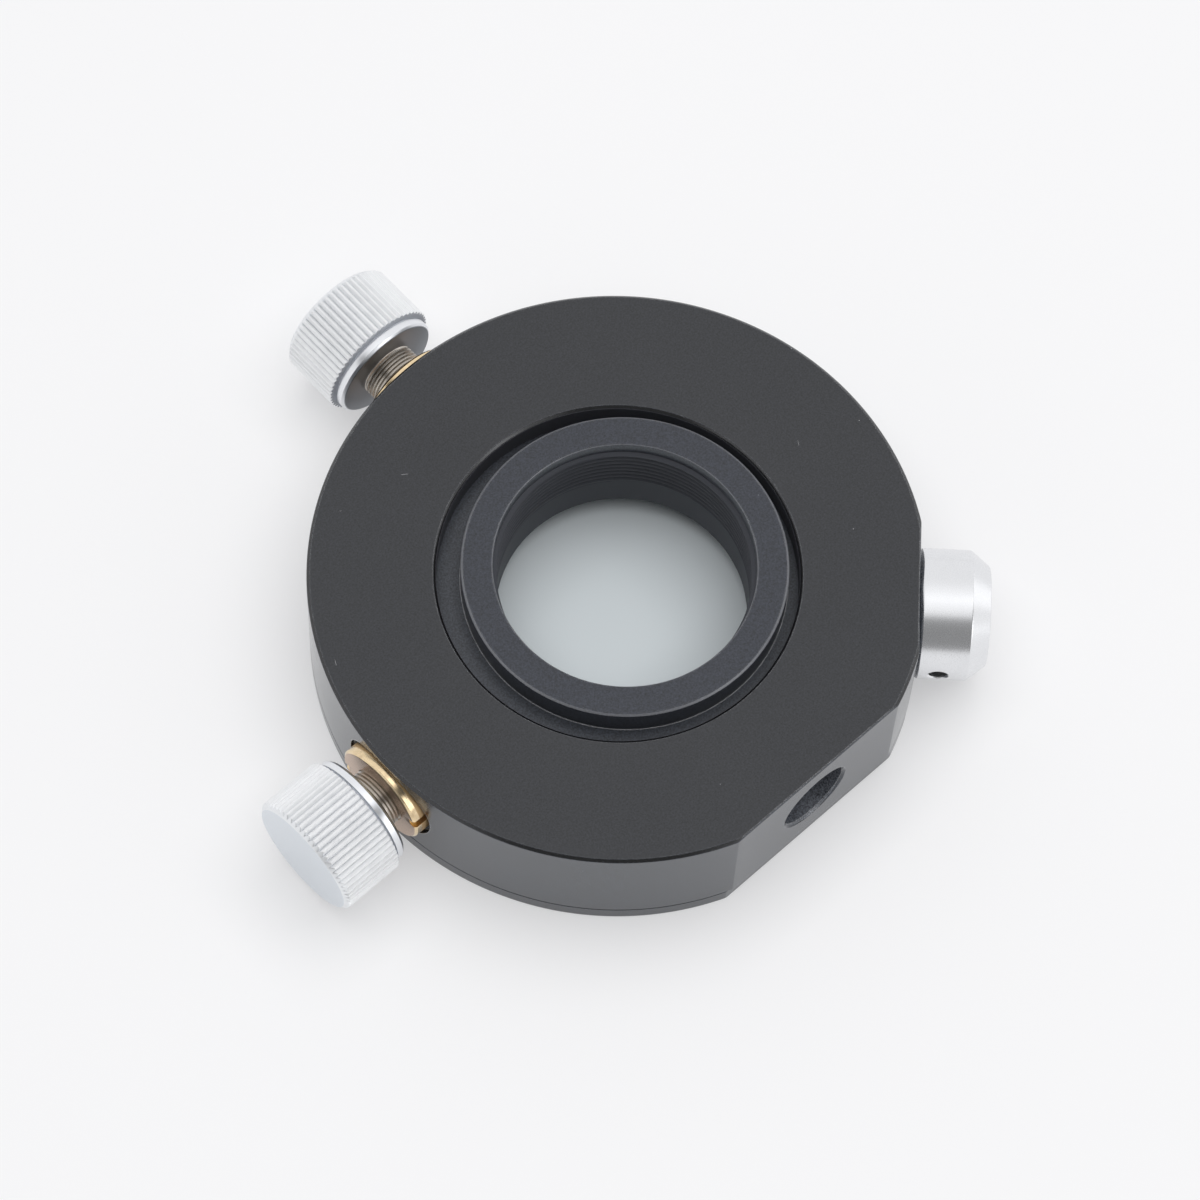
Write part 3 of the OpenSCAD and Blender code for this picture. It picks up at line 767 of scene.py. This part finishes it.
def housing_ring():
    """Turned ring with a lip in front, two milled flats, and the seats of all that goes into it."""
    profile = eased([
        (CAVITY_R, PLATE_THICK), (HOUSING_R - SEAM_CHAMFER, PLATE_THICK),
        (HOUSING_R, PLATE_THICK + SEAM_CHAMFER), (HOUSING_R, FRONT_Z - EDGE_CHAMFER),
        (HOUSING_R - EDGE_CHAMFER, FRONT_Z), (OPENING_R + EDGE_CHAMFER, FRONT_Z),
        (OPENING_R, FRONT_Z - EDGE_CHAMFER), (OPENING_R, LIP_Z), (CAVITY_R, LIP_Z),
    ], FINE)
    ring = flat_sided_ring("housing_ring", profile, RING_FLATS, round_below=CAVITY_R + 1)
    cutters = []
    for azimuth in (UPPER, SIDE):
        cutters.append(drill(outwards(azimuth), [
            (BUSH_R, CAVITY_R - PAST), (BUSH_R, BUSH_FLOOR), (BUSH_RECESS_R, BUSH_FLOOR),
            (BUSH_RECESS_R, BUSH_FACE + PAST)]))
    cutters.append(drill(outwards(PLUNGER), [
        (PIN_BORE_R, CAVITY_R - PAST), (PIN_BORE_R, PIN_BORE_END), (STUB_R, PIN_BORE_END),
        (STUB_R, PLUNGER_FLAT + PAST)]))
    cutters.append(drill(outwards(POST), [
        (POST_SEAT_R, POST_SEAT_FLOOR), (POST_SEAT_R, POST_FLAT - POST_SEAT_CHAMFER),
        (POST_SEAT_R + POST_SEAT_CHAMFER + PAST, POST_FLAT + PAST)]))
    cutters.append(post_tap())
    for azimuth in PLATE_SCREW_AZIMUTHS:
        cutters.append(drill(screw_place(azimuth), [
            (PLATE_SCREW_R, PLATE_THICK - PAST), (PLATE_SCREW_R, PLATE_TAP_END)], count=32))
    cut(ring, cutters)
    return ring


def back_ring():
    """Turned plate with the flats of the housing, set a little further in, and four countersinks."""
    profile = eased([
        (PLATE_HOLE_R, 0), (HOUSING_R - SEAM_CHAMFER, 0), (HOUSING_R, SEAM_CHAMFER),
        (HOUSING_R, PLATE_THICK - SEAM_CHAMFER), (HOUSING_R - SEAM_CHAMFER, PLATE_THICK),
        (PLATE_HOLE_R, PLATE_THICK),
    ], FINE)
    flats = [(azimuth, distance - PLATE_FLAT_INSET) for azimuth, distance in RING_FLATS]
    plate = flat_sided_ring("back_ring", profile, flats, round_below=CAVITY_R)
    cutters = []
    for azimuth in PLATE_SCREW_AZIMUTHS:
        cutters.append(drill(screw_place(azimuth), [
            (PLATE_SCREW_HEAD_R + PAST, -PAST), (PLATE_SCREW_R, PLATE_SCREW_HEAD),
            (PLATE_SCREW_R, PLATE_THICK + PAST)], count=48))
    cut(plate, cutters)
    return plate


def plate_screw(azimuth):
    """Countersunk screw with a hexagon socket, head down in the plate."""
    bm = bmesh.new()
    turned(bm, eased([
        (0, 0), (PLATE_SCREW_HEAD_R, 0), (PLATE_SCREW_R, PLATE_SCREW_HEAD),
        (PLATE_SCREW_R, PLATE_SCREW_LEN), (0, PLATE_SCREW_LEN)], PLATE_SCREW_EASE), count=64)
    place = screw_place(azimuth)
    screw = new_solid("countersunk_screw", bm, place)
    cut(screw, [drill(place, [(SOCKET_R, -PAST), (SOCKET_R, SOCKET_DEPTH)], count=6)], edge=0)
    return screw


# ---------------- lens cell

def threaded_cell():
    """The sliding cell: a flange with three flats, a hub, and the thread that the lens screws into."""
    thread_low = LENS_RECESS_Z - LENS_PITCH * LENS_TURNS
    flats = [(PLUNGER, PUSH_FLAT), (UPPER, PUSH_FLAT), (SIDE, PUSH_FLAT)]
    profile = eased([
        (LENS_CORE_R, thread_low), (LENS_CORE_R, FLANGE_Z + LENS_CHAMFER),
        (LENS_CORE_R + LENS_CHAMFER, FLANGE_Z), (FLANGE_R, FLANGE_Z), (FLANGE_R, FLANGE_TOP_Z),
        (HUB_R, FLANGE_TOP_Z), (HUB_R, HUB_TOP_Z - HUB_CHAMFER), (HUB_R - HUB_CHAMFER, HUB_TOP_Z),
        (LENS_RECESS_R + LENS_CHAMFER, HUB_TOP_Z), (LENS_RECESS_R, HUB_TOP_Z - LENS_CHAMFER),
        (LENS_RECESS_R, LENS_RECESS_Z),
    ], FINE, closed=False)
    bm = bmesh.new()
    skin(bm, disc_rows(profile, FLANGE_R, flats, round_below=HUB_R + 1))
    angles = rising_angles(outline(FLANGE_R, flats))
    thread(bm, LENS_CORE_R, LENS_RECESS_R, LENS_PITCH, thread_low, LENS_RECESS_Z, angles, coned=True)
    return new_solid("threaded_cell", bm, Matrix.Translation((CELL_X * MM, CELL_Y * MM, 0)))


# ---------------- adjusters

def bush(azimuth):
    """Brass bush with a flange and two spanner slots."""
    bore = SCREW_R + RUNNING_GAP
    bm = bmesh.new()
    turned(bm, eased([
        (bore, BUSH_END), (BUSH_R, BUSH_END), (BUSH_R, BUSH_FLOOR), (BUSH_FLANGE_R, BUSH_FLOOR),
        (BUSH_FLANGE_R, BUSH_FACE - BUSH_CHAMFER), (BUSH_FLANGE_R - BUSH_CHAMFER, BUSH_FACE),
        (bore, BUSH_FACE),
    ], FINE), count=160)
    piece = new_solid("bush_flange", bm, outwards(azimuth))
    slots = []
    for side in (0, 180):
        turn = outwards(azimuth) @ Matrix.Rotation(math.radians(SLOT_AZ + side), 4, "Z")
        slots.append(block((BUSH_FLANGE_R - SLOT_DEPTH, -SLOT_W / 2, BUSH_FLOOR - 0.02),
                           (BUSH_FLANGE_R + PAST, SLOT_W / 2, BUSH_FACE + PAST), turn))
    cut(piece, slots, edge=FINE)
    return piece


def adjuster_screw(azimuth, shift):
    """Fine screw with a ball seat in its nose and a shank in the knob."""
    nose_end = BALL_AT - BALL_SEAT
    seat_r = BALL_R + RUNNING_GAP
    seat_end = BALL_AT + seat_r
    seat = []
    for k in range(SEAT_STEPS + 1):
        # the rows lie closer together towards the bottom of the seat
        z = nose_end + (seat_end - nose_end) * (k / SEAT_STEPS) ** 0.7
        seat.append((math.sqrt(max(seat_r ** 2 - (z - BALL_AT) ** 2, 0)), z))
    seat[-1] = (0, seat_end)
    bm = bmesh.new()
    angles = even_angles(120)
    nose = eased([(SCREW_R, THREAD_START), (SCREW_R, SCREW_START + SCREW_CHAMFER),
                  (SCREW_R - SCREW_CHAMFER, SCREW_START), (NOSE_R, SCREW_START),
                  (NOSE_R, nose_end + SCREW_CHAMFER), (NOSE_R - SCREW_CHAMFER, nose_end), seat[0]],
                 FINE, closed=False)
    skin(bm, [circle(r, z, angles) for r, z in nose + seat[1:]])
    shank_end = KNOB_FACE + KNOB_BORE
    shank = eased([(SCREW_R, KNOB_FACE), (SHANK_R, KNOB_FACE), (SHANK_R, shank_end), (0, shank_end)],
                  FINE, closed=False)
    skin(bm, [circle(r, z, angles) for r, z in shank])
    thread(bm, SCREW_R, SCREW_R - SCREW_DEPTH, SCREW_PITCH, THREAD_START, KNOB_FACE, angles)
    return new_solid("fine_screw", bm, outwards(azimuth, shift))


# One tooth of the straight knurl: the share of the pitch round it, and the depth below the crest
TOOTH = [(-0.2, 0.04), (-0.1, 0), (0.1, 0), (0.2, 0.04), (0.35, 0.22), (0.5, 0.4), (0.65, 0.22)]


def knob(azimuth, shift):
    """Turned knob with a straight knurl, a groove and a plain collar, bored for the shank."""
    angles = []
    depths = []
    for tooth in range(KNOB_TEETH):
        for phase, depth in TOOTH:
            angles.append(math.tau * (tooth + phase) / KNOB_TEETH)
            depths.append(depth)
    inner = eased([(0, KNOB_BORE), (SHANK_R, KNOB_BORE), (SHANK_R, 0), (COLLAR_R - COLLAR_CHAMFER, 0),
                   (COLLAR_R, COLLAR_CHAMFER), (COLLAR_R, COLLAR_LEN), (GROOVE_R, COLLAR_LEN),
                   (GROOVE_R, KNURL_START)], KNOB_EASE, closed=False)
    rows = [circle(r, z, angles) for r, z in inner]
    # the turned shape that the knurl is cut into, as (depth below the crest, height)
    blank = [(KNURL_RIM, KNURL_START), (0, KNURL_START + KNURL_RIM)]
    for depth in (0, 0.05, 0.1, 0.15, 0.2, 0.25, 0.3, 0.45, 0.6):
        blank.append((depth, KNOB_LEN - KNOB_CHAMFER + depth))
    blank.append((KNOB_CHAMFER + 0.02, KNOB_LEN))
    for low, z in blank:
        row = []
        for a, depth in zip(angles, depths):
            r = KNOB_R - max(low, depth)
            row.append((r * math.cos(a), r * math.sin(a), z))
        rows.append(row)
    rows.append([(0, 0, KNOB_LEN)])
    bm = bmesh.new()
    skin(bm, rows)
    place = outwards(azimuth, shift + KNOB_FACE)
    piece = new_solid("knurled_knob", bm, place)
    hole = [(GRUB_R, SHANK_R - PAST), (GRUB_R, KNOB_R + PAST)]
    cut(piece, [drill(place @ grub_place(), hole, count=32)], edge=0)
    return piece


def grub_place():
    """From a knob's own place to the line of its grub screw, which runs down."""
    return Matrix.Translation((0, 0, GRUB_AT * MM)) @ Matrix.Rotation(math.pi / 2, 4, "Y")


def grub_screw(azimuth, shift):
    """Short screw with a hexagon socket, which locks the knob to the shank."""
    place = outwards(azimuth, shift + KNOB_FACE) @ grub_place()
    bm = bmesh.new()
    profile = [(0, SHANK_R), (GRUB_R, SHANK_R), (GRUB_R, GRUB_END), (0, GRUB_END)]
    turned(bm, eased(profile, GRUB_EASE), count=48)
    piece = new_solid("grub", bm, place)
    socket = [(GRUB_SOCKET_R, GRUB_END - GRUB_SOCKET_DEPTH), (GRUB_SOCKET_R, GRUB_END + PAST)]
    cut(piece, [drill(place, socket, count=6)], edge=0)
    return piece


def cap():
    """Turned cap of the plunger with a long cone, a stub in the housing and two spanner holes."""
    bm = bmesh.new()
    turned(bm, eased([
        (CAP_BORE_R, STUB_END), (STUB_R, STUB_END), (STUB_R, PLUNGER_FLAT),
        (CAP_R - CAP_BASE_CHAMFER, PLUNGER_FLAT), (CAP_R, PLUNGER_FLAT + CAP_BASE_CHAMFER),
        (CAP_R, CAP_END - CAP_CONE), (CAP_END_R, CAP_END), (0, CAP_END), (0, CAP_BORE_END),
        (CAP_BORE_R, CAP_BORE_END),
    ], CAP_EASE), count=192)
    piece = new_solid("spring_cap", bm, outwards(PLUNGER))
    cutters = []
    for side in (0, 180):
        line = (outwards(PLUNGER, SPANNER_AT) @ Matrix.Rotation(math.radians(SPANNER_TURN + side), 4, "Z")
                @ Matrix.Rotation(-math.pi / 2, 4, "X"))
        cutters.append(drill(line, [
            (SPANNER_R, CAP_BORE_R - PAST), (SPANNER_R, CAP_R - SPANNER_CHAMFER),
            (SPANNER_R + SPANNER_CHAMFER + PAST, CAP_R + PAST)], count=48))
    cut(piece, cutters)
    return piece


def coil():
    """Compression spring of the plunger, between the end of the cap and the collar of the pin."""
    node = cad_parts["plunger_spring"]
    return put("compression_coil", node.data.copy(), node.matrix_world)


# ---------------- every piece in its place

dressed(housing_ring(), "housing", "ring", housing_black)
dressed(back_ring(), "back_plate", "ring", plate_black)
for number, azimuth in enumerate(PLATE_SCREW_AZIMUTHS, 1):
    dressed(plate_screw(azimuth), f"plate_screw_{number}", "ring", black_steel)
dressed(threaded_cell(), "lens_cell", "cell", cell_black)
for name, azimuth, shift in (("upper", UPPER, CELL_Y), ("side", SIDE, -CELL_X)):
    turning = f"{name}_adjuster"
    dressed(bush(azimuth), f"{name}_bush", "ring", brass)
    dressed(adjuster_screw(azimuth, shift), f"{name}_screw", turning, dark_steel)
    dressed(knob(azimuth, shift), f"{name}_knob", turning, silver)
    dressed(grub_screw(azimuth, shift), f"{name}_grub_screw", turning, black_steel)
dressed(cap(), "plunger_cap", "ring", cap_silver)
spring = dressed(coil(), "plunger_spring", None, spring_steel)
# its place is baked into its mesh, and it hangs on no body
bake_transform(spring)

HIDDEN_NODES = {"wave_washer": spring_steel, "upper_ball": ball_steel, "side_ball": ball_steel,
                "plunger_pin": pin_steel}
for node, material in HIDDEN_NODES.items():
    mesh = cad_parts[node].data
    mesh.materials.clear()
    mesh.materials.append(material)

# ---------------- camera, light and floor

CAMERA_FOCAL = 153.96
SENSOR = 36.0
CAMERA_AZ = -136.1
CAMERA_EL = 65.919
CAMERA_ROLL = 3.815
CAMERA_DISTANCE = 657.13
AIM = (-2.088, -4.197, FRONT_Z)  # in a frame turned so that the camera stands on -Y
TURN = Matrix.Rotation(math.radians(CAMERA_AZ + 90), 4, "Z")  # from that frame to the part's own


def place_camera():
    """Camera that looks down on the face, with the two flats in front."""
    data = bpy.data.cameras.new("camera")
    data.lens = CAMERA_FOCAL
    data.sensor_width = SENSOR
    data.sensor_fit = "HORIZONTAL"
    data.clip_start = 0.01
    data.clip_end = 20.0
    tip = Matrix.Rotation(math.radians(90 - CAMERA_EL), 4, "X")
    roll = Matrix.Rotation(math.radians(CAMERA_ROLL), 4, "Z")
    away = Matrix.Translation((0, 0, CAMERA_DISTANCE * MM))
    place = TURN @ Matrix.Translation(Vector(AIM) * MM) @ tip @ roll @ away
    bpy.context.scene.camera = put("camera", data, place)


def background_ray(tree):
    """1 on the rays that show the background: from the camera, and through or off a clear surface."""
    path = add(tree, "LightPath")
    seen = add(tree, "Math", {
        0: path.outputs["Is Camera Ray"], 1: path.outputs["Is Glossy Ray"]}, operation="MAXIMUM")
    return add(tree, "Math", {0: seen, 1: path.outputs["Is Transmission Ray"]}, operation="MAXIMUM")


CARD = "#f7f7f8"
# painted shade: under the bore the card is darker and bluer
CARD_SHADE_IN_BORE = "#d9e0e3"  # the card as it shows through the bore
CARD_SHADE_R = 30.0
CARD_BACKLIGHT = 0.4  # share of the light from behind it


def white_card():
    """White card: matt with the part's shadow and an even glow round the part; under the bore it has no glow
    and is painted darker and bluer, as shade.
    """
    material, tree, here = new_material("backlit_matt_white_card")
    radius = add(tree, "SeparateXYZ", {0: lathe_place(tree, here)})
    under = add(tree, "Math", {0: radius.outputs["X"], 1: CARD_SHADE_R}, operation="LESS_THAN")
    card = add(tree, "Mix", {0: under, 6: linear(CARD), 7: linear(CARD_SHADE_IN_BORE)}, data_type="RGBA")
    shader = add(tree, "BsdfPrincipled", {
        "Base Color": card.outputs[2], "Roughness": 0.9, "Specular IOR Level": 0.1})
    round_part = add(tree, "Math", {0: 1.0, 1: under}, operation="SUBTRACT")
    share = add(tree, "Math", {0: background_ray(tree), 1: round_part}, operation="MULTIPLY")
    share = add(tree, "Math", {0: share, 1: CARD_BACKLIGHT}, operation="MULTIPLY")
    glow = add(tree, "Emission", {"Color": linear(CARD), "Strength": 1.0})
    mixed = add(tree, "MixShader", {0: share, 1: shader, 2: glow})
    add(tree, "OutputMaterial", {"Surface": mixed})
    return material


FLOOR_REACH = 3.0  # metres
FLOOR_Z = -0.02 * MM  # just clear of the plate, so that the two faces never fight


def white_floor():
    """Plain card that the part lies on."""
    corners = [(x * FLOOR_REACH, y * FLOOR_REACH, FLOOR_Z) for x, y in ((-1, -1), (1, -1), (1, 1), (-1, 1))]
    mesh = bpy.data.meshes.new("floor")
    mesh.from_pydata(corners, [], [(0, 1, 2, 3)])
    mesh.materials.append(white_card())
    return put("floor", mesh)


# The tent, by a direction's height and by how far it points forwards, to the camera's side, and across,
# to its right. A pair gives where a form starts and is full, and a band also where it fades and ends.
TENT = 0.95  # light of the tent
DIMMED = -0.67  # what the opening and the gap take from it
OPENING_FRONT = span(0.44, 0.70)
OPENING_ASIDE = span(0.62, 0.38)
GAP_FRONT = span(0.02, 0.14)
GAP_HEIGHT = (0.58, 0.66, 0.84, 0.90)
GAP_DARK = (1.2, -0.25)  # beside the opening, and what is taken off above it
OVERHEAD = span(math.cos(math.radians(34)), math.cos(math.radians(8)))
OVERHEAD_LIGHT = 0.2
PANEL_FRONT = (0.22, 0.34, 0.60, 0.70)
FAR_PANEL_FRONT = (-0.75, -0.55, -0.20, -0.05)
FAR_PANEL_LIGHT = 0.3
PANEL_ACROSS = (0.68, 0.78, 1.0, 1.1)
PANEL_HEIGHT = (-0.1, 0.1, 0.52, 0.62)
LAMP_WAY = (0.30, 0.04, 0.95)
LAMP = span(math.cos(math.radians(12)), math.cos(math.radians(6)))
LAMP_LIGHT = 0.6
PANEL_GAIN = 1.2
TENT_ON_MATT = 0.56  # light of the tent on matt surfaces, as a share


def between(tree, value, band):
    """Rises from 0 to 1 at the start of the band, and falls to 0 at its end."""
    start, top, end_top, end = band
    rise = add(tree, "MapRange", {"Value": value, **span(start, top)})
    fall = add(tree, "MapRange", {"Value": value, **span(end, end_top)})
    return add(tree, "Math", {0: rise, 1: fall}, operation="MULTIPLY")


def tent_walls(tree, front, across, height):
    """Light of the tent: brighter overhead, with a dim opening on the camera's side and a dark gap under
    the overhead light."""
    aside = add(tree, "Math", {0: across}, operation="ABSOLUTE")
    opening = add(tree, "MapRange", {"Value": front, **OPENING_FRONT})
    narrow = add(tree, "MapRange", {"Value": aside, **OPENING_ASIDE})
    dim = add(tree, "Math", {0: opening, 1: narrow}, operation="MULTIPLY")
    ahead = add(tree, "MapRange", {"Value": front, **GAP_FRONT})
    dark = add(tree, "Math", {0: narrow, 1: GAP_DARK[1], 2: GAP_DARK[0]}, operation="MULTIPLY_ADD")
    gap = add(tree, "Math", {0: between(tree, height, GAP_HEIGHT), 1: ahead}, operation="MULTIPLY")
    gap = add(tree, "Math", {0: gap, 1: dark}, operation="MULTIPLY")
    dim = add(tree, "Math", {0: dim, 1: gap}, operation="MAXIMUM")
    tent = add(tree, "Math", {0: dim, 1: DIMMED, 2: TENT}, operation="MULTIPLY_ADD")
    overhead = add(tree, "MapRange", {"Value": height, **OVERHEAD, "To Max": OVERHEAD_LIGHT})
    return add(tree, "Math", {0: tent, 1: overhead})


def lit_panels(tree, way, front, across, height):
    """Light of the panels on the right and of a small lamp above, which only gloss shows."""
    far_panel = add(tree, "Math", {
        0: between(tree, front, FAR_PANEL_FRONT), 1: FAR_PANEL_LIGHT}, operation="MULTIPLY")
    panels = add(tree, "Math", {0: between(tree, front, PANEL_FRONT), 1: far_panel}, operation="MAXIMUM")
    beside = add(tree, "Math", {0: panels, 1: between(tree, across, PANEL_ACROSS)}, operation="MULTIPLY")
    panel = add(tree, "Math", {0: beside, 1: between(tree, height, PANEL_HEIGHT)}, operation="MULTIPLY")
    toward_lamp = add(tree, "VectorMath", {
        0: way, 1: (TURN @ Vector(LAMP_WAY)).normalized()}, operation="DOT_PRODUCT")
    lamp = add(tree, "MapRange", {"Value": toward_lamp.outputs["Value"], **LAMP, "To Max": LAMP_LIGHT})
    lit = add(tree, "Math", {0: panel, 1: lamp}, operation="MAXIMUM")
    return add(tree, "Math", {0: lit, 1: PANEL_GAIN}, operation="MULTIPLY")


def light_tent():
    """White tent round the part. It is written as it is seen, and is softer on matt surfaces."""
    world = bpy.data.worlds.new("studio")
    bpy.context.scene.world = world
    world.use_nodes = True
    tree = world.node_tree
    tree.nodes.clear()
    generated = add(tree, "TexCoord")
    way = generated.outputs["Generated"]
    front = add(tree, "VectorMath", {0: way, 1: TURN @ Vector((0, -1, 0))}, operation="DOT_PRODUCT")
    across = add(tree, "VectorMath", {0: way, 1: TURN @ Vector((1, 0, 0))}, operation="DOT_PRODUCT")
    upward = add(tree, "SeparateXYZ", {0: way})
    directions = (front.outputs["Value"], across.outputs["Value"], upward.outputs["Z"])
    path = add(tree, "LightPath")
    sky = add(tree, "Math", {
        0: lit_panels(tree, way, *directions), 1: path.outputs["Is Glossy Ray"],
        2: tent_walls(tree, *directions)}, operation="MULTIPLY_ADD")
    level = add(tree, "MapRange", {"Value": background_ray(tree), "To Min": TENT_ON_MATT, "To Max": 1.0})
    strength = add(tree, "Math", {0: sky, 1: level}, operation="MULTIPLY")
    tent_light = add(tree, "Background", {"Color": linear("#fefeff"), "Strength": strength})
    add(tree, "OutputWorld", {"Surface": tent_light})


SOFTBOX_SIZE = 1.28  # metres
SOFTBOX_PLACE = (0.12, 0.05, 1.2)  # metres, straight above and a little to the right
SOFTBOX_POWER = 11.0  # watts


def hang_softbox():
    """Soft lamp over the part, for its shading and its shadow. Gloss doesn't show it."""
    data = bpy.data.lights.new("softbox", "AREA")
    data.shape = "SQUARE"
    data.size = SOFTBOX_SIZE
    data.energy = SOFTBOX_POWER
    softbox = put("softbox", data, Matrix.Translation(TURN @ Vector(SOFTBOX_PLACE)))
    softbox.visible_glossy = False


place_camera()
floor = white_floor()
light_tent()
hang_softbox()
bpy.context.scene.view_settings.view_transform = "Standard"
